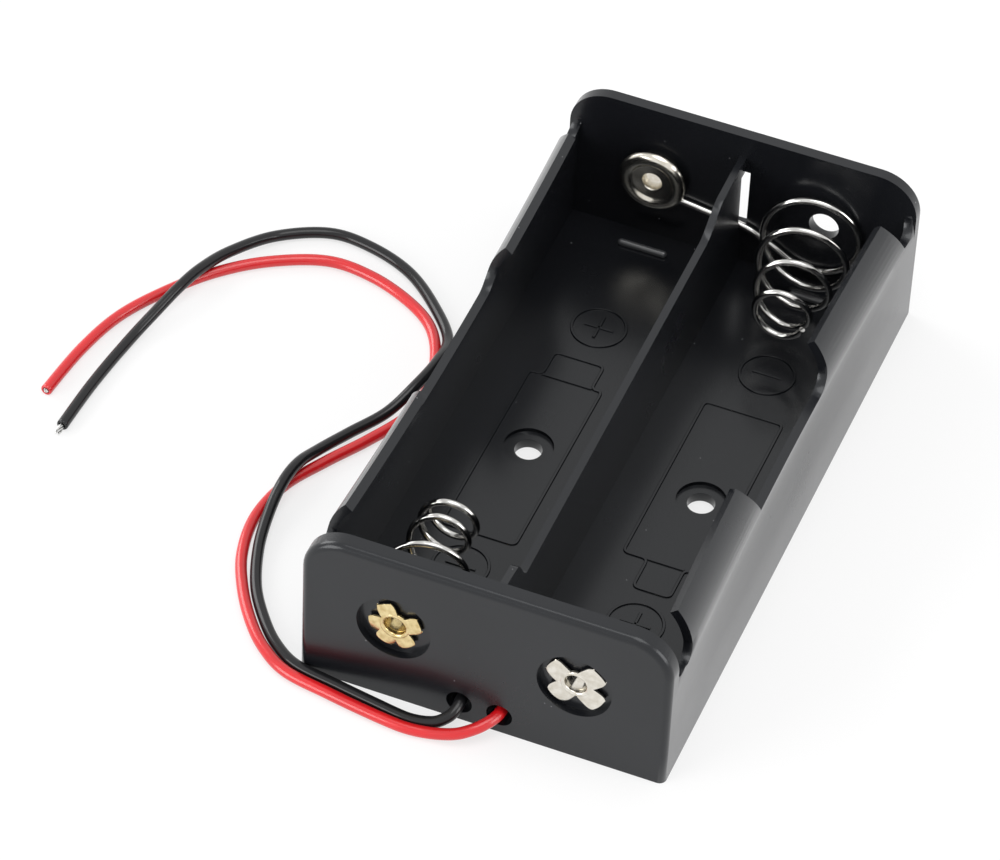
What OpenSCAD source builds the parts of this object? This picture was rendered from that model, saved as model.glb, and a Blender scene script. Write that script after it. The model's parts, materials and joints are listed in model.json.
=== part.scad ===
// Two-bay holder for cylindrical cells, moulded in one piece, with riveted contacts and two leads.
// X runs across the bays, Y along the cells (the leads leave at the -Y end), Z is up.
// The origin is on the underside, at the middle of the case.

/* [Case] */
// Length of the case, along the cells
case_l = 77; // [72:1:94]
// Width of the case, across both bays
case_w = 41; // [38:0.5:50]
// Height of the case
case_h = 20; // [18:0.5:24]
// Thickness of the end wall that the leads come through
near_wall = 2.1; // [1.8:0.1:3]
// Thickness of the other end wall
far_wall = 1.3; // [1.2:0.1:2.5]
// Thickness of the side walls and their lips
side_wall = 1.0; // [0.8:0.1:1.6]
// Thickness of the floor
floor_t = 1.7; // [1.4:0.1:2.5]
// Thickness of the wall between the bays, at the floor
divider_t = 1.2; // [0.9:0.1:1.6]
// Thickness of that wall at its highest point
divider_top_t = 0.8; // [0.6:0.1:1.2]
// Radius of the top corners of the end walls
corner_r = 4.8; // [2:0.2:7]
// Radius of the edge round the outside of the lead end wall
edge_r = 0.8; // [0.4:0.1:1.2]

/* [Lips] */
// Outer radius of the lips that curl over the cells
lip_r = 9.4; // [8:0.2:11]
// How far round the lips curl, in degrees
lip_angle = 45; // [40:1:56]
// Height of the side walls between the lips
rim_h = 13.5; // [11:0.5:15]
// Length of the lip at the lead end, along its tip
near_lip_l = 18.6; // [12:0.2:22]
// Length of the lip at the other end, along its tip
far_lip_l = 19.1; // [12:0.2:22]
// Gap between the lead end wall and its lip
near_gap = 4.5; // [3.6:0.1:7]
// Gap between the other end wall and its lip
far_gap = 7.3; // [5.5:0.1:9]
// How much the inner end of the near lip slopes out towards the rim
near_slope = 3.4; // [0:0.2:5]

/* [Divider] */
// Height of the divider along its low middle
divider_h = 13.5; // [11:0.5:15]
// Height of the divider where it meets the end walls
divider_end_h = 17; // [15:0.5:18]
// Length of the raised part at the lead end
divider_near_l = 7.2; // [4:0.2:12]
// Length of the raised part at the other end
divider_far_l = 6.6; // [4:0.2:12]
// Width of the slot at the divider that the link wire passes
slot_w = 1.7; // [1.6:0.1:2.4]
// Distance of the slot's middle from the middle of the case
slot_x = 0.2; // [0:0.05:0.2]
// Height of the bottom of that slot above the underside
slot_z = 6.9; // [5:0.1:8]
// Height of the slot itself
slot_h = 8.1; // [5:0.1:8.5]

/* [Holes] */
// Height of the contacts above the underside
contact_z = 10.4; // [9:0.1:12]
// Diameter of the round recesses in the lead end wall
recess_d = 8.3; // [7.5:0.1:9]
// Depth of those recesses
recess_deep = 0.9; // [0.5:0.1:1.1]
// Diameter of the mounting screw holes in the floor
screw_d = 3.1; // [2.5:0.1:4]
// Diameter of the seat for the screw head
screw_seat_d = 5.6; // [5:0.1:8]
// Depth of the seat for the screw head
screw_seat_deep = 0.5; // [0.3:0.1:0.9]
// Diameter of the holes that the leads pass
lead_hole_d = 2.9; // [2.2:0.1:3.4]
// Distance between the two lead holes
lead_pitch = 4.5; // [4.2:0.1:6]
// How far the pair of lead holes is moved to the right of the middle
lead_shift = -0.2; // [-0.4:0.05:0.4]
// Height of the lead holes above the underside
lead_hole_z = 2.5; // [2.4:0.1:4]
// Diameter of the spare rivet hole at the link spring
spare_hole_d = 3.5; // [3:0.1:4]

/* [Contacts] */
// Outer diameter of the rivet barrels
barrel_d = 2.9; // [2.4:0.1:3.4]
// Thickness of the rivets' sheet metal
rivet_t = 0.3; // [0.2:0.05:0.4]
// Diameter across the spread petals of the spring's rivet
brass_petal_d = 6; // [5:0.1:7]
// Width of those petals
brass_petal_w = 1.9; // [1.2:0.1:2.2]
// Diameter across the spread petals of the contact rivets
nickel_petal_d = 6.8; // [5:0.1:7.2]
// Width of those petals
nickel_petal_w = 2.2; // [1.6:0.1:2.6]
// Diameter of the dished positive contacts
dish_d = 7.8; // [6.5:0.1:9]
// How far the bead stands above the floor of the dish
bead_rise = 0.35; // [0.2:0.05:0.5]
// Diameter of the flange that clamps the spring
flange_d = 5.4; // [5:0.1:6.5]
// Diameter of the spring wire
wire_d = 0.75; // [0.6:0.05:0.9]
// Radius of the springs' largest turn, to the middle of the wire
spring_base_r = 5.5; // [4.8:0.1:6]
// Radius of the springs' smallest turn, to the middle of the wire
spring_tip_r = 2.95; // [2.6:0.1:4]
// Free length of the negative spring, from its end wall
negative_spring_l = 14.3; // [9:0.1:16]
// Free length of the link spring, from its end wall
link_spring_l = 13.7; // [9:0.1:16]

/* [Leads] */
// Outside diameter of the leads
lead_d = 1.3; // [1.1:0.05:1.4]
// Diameter of the bundle of bare strands
strand_d = 0.7; // [0.5:0.05:0.8]

/* [Hidden] */
$fn = 64;
e = 0.01;
fit = 0.05;

near_y = -case_l / 2;
far_y = case_l / 2;
near_in = near_y + near_wall;
far_in = far_y - far_wall;
bay_w = (case_w - 2 * side_wall - divider_t) / 2;
bay_x = (divider_t + bay_w) / 2;
lead_x = lead_pitch / 2;

// Lips: the arc ends just under the top of the case.
lip_drop = 0.9;
tip_z = case_h - lip_drop;
lip_x = case_w / 2 - lip_r;
lip_z = tip_z - lip_r * sin(lip_angle);
notch_r = 1.6;
scallop_r = 2.6;
far_notch_r = 2.2;
near_lip_y = near_in + near_gap;
near_lip_end = near_lip_y + near_lip_l;
far_lip_end = far_in - far_gap;
far_lip_y = far_lip_end - far_lip_l;

// Floor rib that keeps the first turn of a spring against its wall.
rib_y = 2.3;
rib_t = 0.6;
rib_l = 5;
rib_h = 0.5;

// Rivet stack on the lead end wall: wall, tag, wire loop, flange.
tag_t = 0.3;
recess_floor_y = near_y + recess_deep;
petal_gap = 0.3;
brass_turns = [20, 115, 190, 245, 305];
nickel_turns = [43, 153, 225, 323];
loop_r = (barrel_d + wire_d) / 2 + fit;
bead_r = rivet_t + bead_rise + 0.15;
near_wire_y = near_in + tag_t + wire_d / 2 + fit / 2;
far_wire_y = far_in - wire_d / 2 - fit / 2;

// Springs: the base turn hangs a little below the contact, nearer the divider.
base_x = bay_x - 1.05;
base_z = contact_z - 1.1;
tip_z_link = base_z - 0.2;
tip_z_negative = base_z + 1.6;
tip_lean = 0.4;

// Leads: places along each lead, from its solder tag to its bare end.
lead_r = lead_d / 2;
ear_x = 2.3;
ear_z = 5.6;
ear_r = 1.2;
black_route = [
    [-2.4, -35.9, 2.5], [-2.4, -37, 2.5], [-2.4, -38.2, 2.45], [-2.5, -39.3, 2.1],
    [-3.1, -40.25, 1.6], [-4.5, -40.95, 1], [-7.2, -41.15, 0.65], [-11.2, -40.6, 0.65],
    [-15.8, -39.85, 0.65], [-20.6, -38.98, 0.65], [-23.6, -37.2, 0.65], [-26.2, -34.5, 0.65],
    [-29, -30.4, 0.65], [-31, -25.3, 0.75], [-31.9, -20.7, 1.3], [-32.1, -16.6, 2.1],
    [-31.8, -13, 2.1], [-30.9, -9.5, 1.3], [-29, -5.2, 0.8], [-26.4, -0.8, 1],
    [-24.7, 3.4, 2.1], [-24, 7.8, 2.1], [-24.7, 12.6, 0.9], [-28.1, 17, 0.65],
    [-32.8, 21, 0.65], [-38.3, 23.1, 0.65], [-43.6, 23.3, 0.65], [-48.9, 20.2, 0.8],
    [-52.2, 15.2, 1.5], [-53.8, 10.8, 2.1], [-54.8, 7, 2.1], [-55.9, 2.8, 1.4],
    [-57, -2, 0.7], [-57.8, -9.5, 0.65], [-58.1, -16.8, 0.65]];
red_route = [
    [2.05, -35.9, 2.5], [2.05, -37, 2.5], [1.9, -38.4, 2.4], [1.25, -39.7, 2.2],
    [0.05, -40.9, 1.8], [-1.7, -41.8, 1.25], [-4.4, -42.3, 0.75], [-7.3, -42.5, 0.65],
    [-11.4, -42, 0.65], [-16.1, -41.25, 0.65], [-21.25, -40.25, 0.65], [-24.6, -38.2, 0.65],
    [-27.4, -35.3, 0.65], [-30.2, -31.2, 0.65], [-32.4, -26.4, 0.65], [-33.3, -20.8, 0.65],
    [-32.3, -15.2, 0.65], [-29.7, -10.2, 0.65], [-26.7, -5.2, 0.65], [-24.3, -0.2, 0.65],
    [-23.9, 4.8, 0.65], [-25, 9.7, 0.65], [-27.3, 13.8, 0.65], [-31, 16.6, 0.65],
    [-36.4, 18.7, 0.65], [-42, 19, 0.65], [-48, 16.2, 0.65], [-52.8, 12.1, 0.65],
    [-56.6, 7, 0.65], [-59.6, 1.4, 0.65], [-61.2, -5, 0.65], [-62, -12.6, 0.65]];

function unit(v) = v / norm(v);

// Point on a smooth curve through p, at u between 0 and 1 along the stretch after point i.
function spline_point(p, i, u) =
    let (a = p[max(i - 1, 0)], b = p[i], c = p[i + 1], d = p[min(i + 2, len(p) - 1)])
    0.5 * (2 * b + (c - a) * u + (2 * a - 5 * b + 4 * c - d) * u * u
        + (3 * b - a - 3 * c + d) * u * u * u);

// Smooth curve through p, with enough steps on each stretch to keep them under step long.
function spline(p, step) = concat(
    [for (i = [0:len(p) - 2])
        let (n = max(1, ceil(norm(p[i + 1] - p[i]) / step - 0.15)))
        for (k = [0:n - 1]) spline_point(p, i, k / n)],
    [p[len(p) - 1]]);

function tangent(p, i) = unit(p[min(i + 1, len(p) - 1)] - p[max(i - 1, 0)]);

function next_normal(n, t) = unit(n - (n * t) * t);

function first_normal(t) = next_normal(abs(t.z) < 0.9 ? [0, 0, 1] : [0, 1, 0], t);

// Directions across the curve, carried from ring to ring without twisting.
function normals(p) =
    [for (i = 0, n = first_normal(tangent(p, 0)); i < len(p);
          i = i + 1, n = next_normal(n, tangent(p, min(i, len(p) - 1)))) n];

// Round tube of radius r swept along the points p.
module tube(p, r, sides = 8) {
    n = normals(p);
    rings = [for (i = [0:len(p) - 1])
        let (t = tangent(p, i), b = cross(t, n[i]))
        for (k = [0:sides - 1])
            p[i] + r * (cos(360 * k / sides) * n[i] + sin(360 * k / sides) * b)];
    last = (len(p) - 1) * sides;
    sides_of = [for (i = [0:len(p) - 2], k = [0:sides - 1])
        let (a = i * sides + k, b = i * sides + (k + 1) % sides)
        [a, a + sides, b + sides, b]];
    caps = [[for (k = [0:sides - 1]) k], [for (k = [sides - 1:-1:0]) last + k]];
    polyhedron(rings, concat(sides_of, caps), convexity = 10);
}

// Extrudes an outline drawn in (y, z) to a width w across X.
module along_x(w) {
    rotate([90, 0, 90]) translate([0, 0, -w / 2]) linear_extrude(w) children();
}

// Extrudes an outline drawn in (x, z) from y, for a length l.
module along_y(y, l) {
    translate([0, y + l, 0]) rotate([90, 0, 0]) linear_extrude(l) children();
}

// Cylinder lying along Y.
module rod_y(x, y, z, d, l) {
    translate([x, y + l, z]) rotate([90, 0, 0]) cylinder(d = d, h = l);
}

module mirrored_x() {
    children();
    mirror([1, 0, 0]) children();
}

// ---- Case ----

module end_outline(w, h, r) {
    translate([-w / 2, 0]) square([w, h - r]);
    translate([-w / 2 + r, 0]) square([w - 2 * r, h]);
    for (s = [-1, 1]) translate([s * (w / 2 - r), h - r]) circle(r);
}

// Lead end wall: its outer edge is rounded over round the top and sides.
module lead_end_wall() {
    along_y(near_y + edge_r, near_wall - edge_r) end_outline(case_w, case_h, corner_r);
    along_y(near_y, near_wall)
        end_outline(case_w - 2 * edge_r, case_h - edge_r, corner_r - edge_r);
    edge_y = near_y + edge_r;
    side_x = case_w / 2 - edge_r;
    for (s = [-1, 1]) {
        translate([s * side_x, edge_y, 0]) cylinder(r = edge_r, h = case_h - corner_r);
        translate([s * (case_w / 2 - corner_r), edge_y, case_h - corner_r])
            rotate([90, 0, 0]) rotate_extrude()
                intersection() {
                    translate([corner_r - edge_r, 0]) circle(edge_r);
                    translate([corner_r - edge_r, -edge_r]) square(2 * edge_r);
                }
    }
    translate([-case_w / 2 + corner_r, edge_y, case_h - edge_r])
        rotate([0, 90, 0]) cylinder(r = edge_r, h = case_w - 2 * corner_r);
}

// Cross-section of a side wall, straight up and then curled in over the cell.
module wall_section() {
    far = 2 * lip_r;
    difference() {
        intersection() {
            union() {
                translate([lip_x, 0]) square([lip_r, lip_z]);
                translate([lip_x, lip_z]) circle(lip_r);
            }
            union() {
                translate([lip_x, -e]) square([far, lip_z + e]);
                translate([lip_x, lip_z])
                    polygon([[0, -e], [far, -e], [far, far * tan(lip_angle)]]);
            }
        }
        translate([lip_x, floor_t]) square([lip_r - side_wall, lip_z - floor_t + e]);
        translate([lip_x, lip_z]) circle(lip_r - side_wall);
    }
}

// Angle at which a straight line from p touches a circle of radius r round c.
function touch_angle(p, c, r) =
    let (d = p - c) atan2(d.y, d.x) + acos(r / norm(d));

// Gaps in the side walls, seen from the side: one at each end and one between the lips.
module side_notches() {
    top = tip_z + 1;
    for (y = [near_in + notch_r, near_lip_y - notch_r]) translate([y, rim_h + notch_r]) circle(notch_r);
    translate([near_in, rim_h + notch_r]) square([near_gap, top - rim_h]);
    translate([near_in + notch_r, rim_h]) square([near_gap - 2 * notch_r, top - rim_h]);

    scallop = [far_lip_y - scallop_r, rim_h + scallop_r];
    translate(scallop) circle(scallop_r);
    polygon([[near_lip_end, tip_z], [near_lip_end + near_slope, rim_h], [scallop.x, rim_h],
        scallop, [far_lip_y, scallop.y], [far_lip_y, top], [near_lip_end, top]]);

    c = [far_in - far_notch_r, rim_h + far_notch_r];
    tip = [far_lip_end, tip_z];
    a = touch_angle(tip, c, far_notch_r);
    translate(c) circle(far_notch_r);
    polygon([tip, c + far_notch_r * [cos(a), sin(a)], c, [far_in, c.y], [far_in, top], [tip.x, top]]);
}

module side_walls() {
    intersection() {
        mirrored_x() along_y(near_in - e, far_in - near_in + 2 * e) wall_section();
        along_x(case_w + 2) difference() {
            translate([near_y, 0]) square([case_l, tip_z + e]);
            side_notches();
        }
    }
}

// Heights along a smooth ramp from a to b, as points between y0 and y1.
function ramp(y0, y1, a, b, n = 10) =
    [for (i = [0:n]) [y0 + (y1 - y0) * i / n, a + (b - a) * (1 - cos(180 * i / n)) / 2]];

module divider() {
    step_l = 3;
    rise_l = 5.8;
    near_top = near_in + divider_near_l;
    far_top = far_in - divider_far_l;
    intersection() {
        divider_side(near_top, far_top, step_l, rise_l);
        along_y(near_in - 1, far_in - near_in + 2) polygon([[-divider_t / 2, 0], [divider_t / 2, 0],
            [divider_top_t / 2, divider_end_h], [-divider_top_t / 2, divider_end_h]]);
    }
}

// The same wall seen from the side: raised at both ends, low between.
module divider_side(near_top, far_top, step_l, rise_l) {
    along_x(divider_t + 1) polygon(concat(
        [[far_in + e, 0], [near_in - e, 0], [near_in - e, divider_end_h]],
        ramp(near_top - step_l / 2, near_top + step_l / 2, divider_end_h - 0.6, divider_h - 0.4),
        ramp(far_top - rise_l, far_top, divider_h + 0.7, divider_end_h - 0.3),
        [[far_in + e, divider_end_h]]));
}

module case() color("#1c1d20") {
    difference() {
        union() {
            translate([-case_w / 2, near_y + edge_r, 0]) cube([case_w, case_l - edge_r, floor_t]);
            lead_end_wall();
            along_y(far_in, far_wall) end_outline(case_w, case_h, corner_r);
            side_walls();
            divider();
            for (s = [-1, 1], y = [near_in + rib_y, far_in - rib_y - rib_t])
                translate([s * bay_x - rib_l / 2, y, floor_t - e]) cube([rib_l, rib_t, rib_h + e]);
        }
        for (s = [-1, 1]) {
            translate([s * bay_x, 0, -1]) cylinder(d = screw_d, h = floor_t + 2);
            translate([s * bay_x, 0, floor_t - screw_seat_deep]) cylinder(d = screw_seat_d, h = floor_t);
            rod_y(s * bay_x, near_y - 1, contact_z, recess_d, recess_deep + 1);
            rod_y(s * bay_x, near_y - 1, contact_z, barrel_d + 2 * fit, near_wall + 2);
            rod_y(s * lead_x + lead_shift, near_y - 1, lead_hole_z, lead_hole_d, near_wall + 2);
        }
        rod_y(-bay_x, far_in - 1, contact_z, barrel_d + 2 * fit, far_wall + 2);
        rod_y(bay_x, far_in - 1, contact_z, spare_hole_d, far_wall + 2);
        translate([slot_x - slot_w / 2, far_in - 1.2, slot_z]) cube([slot_w, far_wall + 2.2, slot_h]);
    }
}

// ---- Rivets ----

// Petals of a split barrel, bent outwards: strips of width w at the given turns, out to diameter d.
// They start at height 0 and curl over at the end of the barrel.
module petals(turns, w, d) {
    curl = petal_gap;
    outer_r = barrel_d / 2;
    intersection() {
        rotate_extrude() {
            difference() {
                translate([outer_r + curl, 0]) circle(curl + rivet_t);
                translate([outer_r + curl, 0]) circle(curl);
                translate([0, -2]) square([outer_r + 2, 2]);
                translate([outer_r + curl, -2]) square(4);
            }
            translate([outer_r + curl - e, curl]) square([d / 2 - outer_r - curl + e, rivet_t]);
        }
        for (a = turns) rotate(a) translate([0, -w / 2, -1]) cube([d, w, 3]);
    }
}

// Barrel from the flange at height 0 down to the petals, for a wall stack of height h.
module barrel(h) {
    rotate_extrude() translate([barrel_d / 2 - rivet_t, 0]) square([rivet_t, h]);
}

// Places a rivet drawn along +Z so that it points out through the lead end wall.
module at_near(x, y) {
    translate([x, y, contact_z]) rotate([90, 0, 0]) children();
}

module negative_rivet() color("#d8bf85") {
    top_y = near_wire_y + wire_d / 2 + fit / 2;
    h = top_y - recess_floor_y;
    at_near(-bay_x, top_y) {
        rotate_extrude() translate([barrel_d / 2 - rivet_t, -rivet_t])
            square([(flange_d - barrel_d) / 2 + rivet_t, rivet_t]);
        barrel(h);
        translate([0, 0, h]) petals(brass_turns, brass_petal_w, brass_petal_d);
    }
}

// Dished contact: a flat floor that is clamped, and a rolled bead round it that meets the cell.
// The bead ends level with the back of the floor, so the wire and the tag pass behind it.
module dish() {
    in_r = barrel_d / 2 - rivet_t;
    bead_x = dish_d / 2 - bead_r;
    bead_z = bead_r - rivet_t - bead_rise;
    rotate_extrude() {
        translate([in_r, -rivet_t]) square([bead_x - bead_r - in_r + rivet_t, rivet_t]);
        difference() {
            translate([bead_x, bead_z]) circle(bead_r);
            translate([bead_x, bead_z]) circle(bead_r - rivet_t);
            square(dish_d);
        }
    }
}

module contact_rivet(h, turns) {
    dish();
    barrel(h);
    translate([0, 0, h]) petals(turns, nickel_petal_w, nickel_petal_d);
}

module positive_rivet() color("#d9d6cc") {
    top_y = near_in + tag_t + fit / 2;
    at_near(bay_x, top_y) contact_rivet(top_y - recess_floor_y, nickel_turns);
}

module link_rivet() color("#d9d6cc") {
    top_y = far_wire_y - wire_d / 2 - fit / 2;
    translate([-bay_x, top_y, contact_z]) rotate([-90, 0, 0])
        contact_rivet(far_y - top_y, [40:90:310]);
}

// ---- Solder tags ----

// Flat tag: a ring under the rivet, and a tongue to the ear where the lead is soldered.
module tag(side) {
    ring = [side * bay_x, contact_z];
    ear = [side * ear_x, ear_z];
    d = ear - ring;
    tongue_w = 1.6;
    along_y(near_in + e, tag_t - e) difference() {
        union() {
            translate(ring) circle(d = flange_d);
            translate(ear) circle(ear_r);
            translate(ring) rotate(atan2(d.y, d.x)) translate([0, -tongue_w / 2])
                square([norm(d), tongue_w]);
        }
        translate(ring) circle(d = barrel_d + 2 * fit);
    }
}

module negative_tag() color("#c9c8c4") tag(-1);

module positive_tag() color("#c9c8c4") tag(1);

solder_r = 0.8;
solder_h = 0.7;

module solder_joints() color("#b9bbbd")
    for (s = [-1, 1]) translate([s * ear_x, near_in + tag_t + e, ear_z]) rotate([-90, 0, 0])
        rotate_extrude() intersection() {
            scale([1, solder_h / solder_r]) circle(solder_r);
            square(2);
        }

// ---- Springs ----

first_turn = 240;
turn_step = 18;
link_turns = [380, 1502, 1782];
link_tip_pitch = 0.8;
negative_turns = [400, 1120, 1608];
negative_tip_pitch = 1.6;

// Middle of the wire of a cone spring at angle a: flat at the base, a cone up to the second of
// the given turns, and then turns of equal size one pitch apart.
function cone_wire(a, turns, pitch, y_base, y_tip, tip) =
    let (side = sign(y_tip - y_base),
        closed = (turns[2] - turns[1]) / 360 * pitch,
        climb = max(0, min(1, (a - turns[0]) / (turns[1] - turns[0]))),
        y = y_base + (y_tip - side * closed - y_base) * climb
            + side * max(0, a - turns[1]) / 360 * pitch,
        r = spring_tip_r + (spring_base_r - spring_tip_r) * (1 - pow(climb, 1.5)),
        x = base_x + (tip.x - base_x) * climb,
        z = base_z + (tip.y - base_z) * climb)
    [x + r * cos(a), y, z + r * sin(a)];

// Link spring: a loop round the link rivet, the wire past the divider, and the cone.
link_route = [[-6.6, 8.3], [-2.5, 7.7], [0, 7.45], [1.8, 7], [3.5, 6.15], [4.9, 5.4]];

function link_path() = concat(
    [for (a = [-30:turn_step:270])
        [-bay_x + loop_r * cos(a), far_wire_y, contact_z + loop_r * sin(a)]],
    [for (p = link_route) [p.x, far_wire_y, p.y]],
    [for (a = [first_turn:turn_step:link_turns[2]])
        cone_wire(a, link_turns, link_tip_pitch, far_wire_y,
            far_in - link_spring_l + wire_d / 2, [bay_x, tip_z_link])]);

module link_spring() color("#d5d6d8") tube(link_path(), wire_d / 2);

// Negative spring: a loop round its rivet that opens out into the base turn.
function negative_path() =
    let (open = 540,
        loop = [for (a = [first_turn - open:turn_step:first_turn - 1])
            let (t = max(0, (a - first_turn + open - 300) / (open - 300)),
                s = t * t * (3 - 2 * t),
                r = loop_r + (spring_base_r - loop_r) * s)
            [bay_x + (base_x - bay_x) * s + r * cos(a), -near_wire_y,
                contact_z + (base_z - contact_z) * s + r * sin(a)]],
        cone = [for (a = [first_turn:turn_step:negative_turns[2]])
            cone_wire(a, negative_turns, negative_tip_pitch, -near_wire_y,
                -near_in - negative_spring_l + wire_d / 2, [bay_x + tip_lean, tip_z_negative])])
    concat(loop, cone);

module negative_spring() color("#d5d6d8") rotate([0, 0, 180]) tube(negative_path(), wire_d / 2);

// ---- Leads ----

ring_step = 4;

// The route smoothed into a curve that never dips below the ground.
function lead_path(route) =
    [for (p = spline(route, ring_step)) [p.x, p.y, max(p.z, lead_r)]];

module lead(route) tube(lead_path(route), lead_r);

module black_lead() color("#17181a") lead(black_route);

module red_lead() color("#c11a1f") lead(red_route);

// Bare strands: a short stub out of the cut end, and the stretch up to the solder tag.
module strands(route, side, bare) {
    n = len(route);
    end = route[n - 1];
    out = tangent(route, n - 1);
    tube([end + e * out, end + bare * out], strand_d / 2);
    start = route[0];
    top = near_in + tag_t + e + strand_d / 2;
    stop_z = ear_z - solder_r - 0.05;
    tube([start + [0, e, 0], start + [0, 0.2, 0], start + [0, 0.45, 0.3],
        [start.x, top + 0.2, lead_hole_z + 1.1], [side * ear_x, top, stop_z]], strand_d / 2);
}

module black_strands() color("#c9a37a") strands(black_route, -1, 1.1);

module red_strands() color("#c9a37a") strands(red_route, 1, 0.4);

case();
negative_spring();
negative_rivet();
negative_tag();
positive_rivet();
positive_tag();
link_spring();
link_rivet();
black_lead();
red_lead();
black_strands();
red_strands();
solder_joints();
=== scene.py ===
# %% [markdown]
# # A two-bay holder for cylindrical cells
# The solid model gives every size, so this script only adds what a solid model leaves out: finishes,
# rounded edges, bent sheet metal, smooth wire and soft leads. Each step says what the piece is on
# the real object, how it could be made in Blender, and why one way was chosen.

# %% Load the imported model
import json
import math

import bmesh
import bpy
import numpy as np
from mathutils import Matrix


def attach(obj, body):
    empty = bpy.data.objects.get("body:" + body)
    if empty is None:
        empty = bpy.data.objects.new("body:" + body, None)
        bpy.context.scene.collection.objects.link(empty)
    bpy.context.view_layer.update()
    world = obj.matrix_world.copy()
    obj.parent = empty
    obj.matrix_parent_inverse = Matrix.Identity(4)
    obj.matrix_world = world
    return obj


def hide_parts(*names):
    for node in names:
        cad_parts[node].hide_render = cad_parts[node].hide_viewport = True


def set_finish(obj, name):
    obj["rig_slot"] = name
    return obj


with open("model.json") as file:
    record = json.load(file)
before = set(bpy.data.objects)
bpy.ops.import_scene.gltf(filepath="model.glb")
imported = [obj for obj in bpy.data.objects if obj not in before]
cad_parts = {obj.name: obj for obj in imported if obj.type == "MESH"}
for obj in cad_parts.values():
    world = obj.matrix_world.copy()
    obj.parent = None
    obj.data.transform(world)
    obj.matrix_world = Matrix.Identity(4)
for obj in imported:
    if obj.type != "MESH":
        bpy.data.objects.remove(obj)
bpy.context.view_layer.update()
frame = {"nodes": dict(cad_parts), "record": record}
scene = bpy.context.scene
MM = 0.001

# %% [markdown]
# ## Camera
# A long lens looks down at the lead end from the right, with a slight roll. A camera can be aimed
# with a Track To constraint, but three plain axes say the same with nothing left to evaluate.

# %% Camera
TURN_RAISE_ROLL = [20.05, 45.02, 2.81]
SHIFT_RIGHT, SHIFT_UP, DISTANCE = 0.012704, 0.00119, 0.6220
AIM_HEIGHT = 0.010

azimuth, elevation, roll = np.radians(TURN_RAISE_ROLL)
back = np.array([np.sin(azimuth) * np.cos(elevation), -np.cos(azimuth) * np.cos(elevation),
                 np.sin(elevation)])
right = np.array([np.cos(azimuth), np.sin(azimuth), 0.0])
up = np.cross(back, right)
right, up = (np.cos(roll) * right + np.sin(roll) * up,
             np.cos(roll) * up - np.sin(roll) * right)
eye = np.array([0, 0, AIM_HEIGHT]) - SHIFT_RIGHT * right - SHIFT_UP * up + DISTANCE * back

camera_data = bpy.data.cameras.new("camera")
camera_data.sensor_width = 36
camera_data.lens = 208.66
camera_data.clip_start, camera_data.clip_end = 0.05, 20
camera = bpy.data.objects.new("camera", camera_data)
scene.collection.objects.link(camera)
camera_matrix = np.eye(4)
camera_matrix[:3, :4] = np.column_stack([right, up, back, eye])
camera.matrix_world = Matrix(camera_matrix)
scene.camera = camera
print("camera", np.round(np.linalg.norm(eye), 3), "m from the part")

# %% [markdown]
# ## Surfaces from arrays
# Every new piece is a grid of points: one direction runs along the piece and the other round or
# across it. Modelling by hand could give the same shapes, but a formula keeps them exact, and
# a whole array is worked out at once.

# %% A grid of points becomes a mesh
def grid_object(name, points, slot, around=True, along=False, caps=False, smooth=40):
    """Points are an array [along, round, xyz] in metres, and each square of it becomes a face.
    around and along join the last row or column to the first, and caps closes both ends."""
    rows, columns, _ = points.shape
    index = np.arange(rows * columns).reshape(rows, columns)
    a = index if along else index[:-1]
    b = np.roll(index, -1, axis=0) if along else index[1:]
    if around:
        quads = np.stack([a, np.roll(a, -1, axis=1), np.roll(b, -1, axis=1), b], axis=-1)
    else:
        quads = np.stack([a[:, :-1], a[:, 1:], b[:, 1:], b[:, :-1]], axis=-1)
    faces = quads.reshape(-1, 4).tolist()
    if caps:
        faces += [index[0, ::-1].tolist(), index[-1].tolist()]
    return mesh_object(name, points.reshape(-1, 3), faces, slot, smooth)


def mesh_object(name, points, faces, slot, smooth=40):
    """Points and faces become a piece whose faces point outwards. Edges sharper than smooth
    degrees stay sharp."""
    mesh = bpy.data.meshes.new(name)
    mesh.from_pydata(np.asarray(points).tolist(), [], faces)
    work = bmesh.new()
    work.from_mesh(mesh)
    bmesh.ops.remove_doubles(work, verts=work.verts, dist=1e-7)
    bmesh.ops.recalc_face_normals(work, faces=work.faces)
    work.to_mesh(mesh)
    work.free()
    mesh.shade_smooth()
    mesh.set_sharp_from_angle(angle=math.radians(smooth))
    piece = bpy.data.objects.new(name, mesh)
    scene.collection.objects.link(piece)
    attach(piece, "root")
    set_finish(piece, slot)
    return piece


def lathe(name, profile, centre, slot, sides=72):
    """A closed profile of (radius, y) in mm is turned about a line along Y through centre:
    x = cx + r cos a, z = cz + r sin a, y = cy + the profile's y."""
    profile = np.asarray(profile, float)
    a = np.linspace(0, 2 * np.pi, sides, endpoint=False)
    r, y = profile[:, 0][:, None], profile[:, 1][:, None]
    points = np.stack([centre[0] + r * np.cos(a), centre[1] + y + 0 * a,
                       centre[2] + r * np.sin(a)], axis=-1)
    return grid_object(name, points * MM, slot, along=True)


def sweep(path, radius, sides, upward):
    """Rings of a round wire along a path: each ring is centre + radius (n cos a + b sin a), where n is
    the upward direction made square to the path, and b is square to both. radius may vary along it."""
    path = np.asarray(path, float)
    t = np.gradient(path, axis=0)
    t /= np.linalg.norm(t, axis=1, keepdims=True)
    n = np.asarray(upward, float) - (t @ np.asarray(upward, float))[:, None] * t
    n /= np.linalg.norm(n, axis=1, keepdims=True)
    b = np.cross(t, n)
    a = np.linspace(0, 2 * np.pi, sides, endpoint=False)
    ring = np.cos(a)[None, :, None] * n[:, None] + np.sin(a)[None, :, None] * b[:, None]
    return path[:, None] + np.reshape(radius, (-1, 1, 1)) * ring

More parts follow.
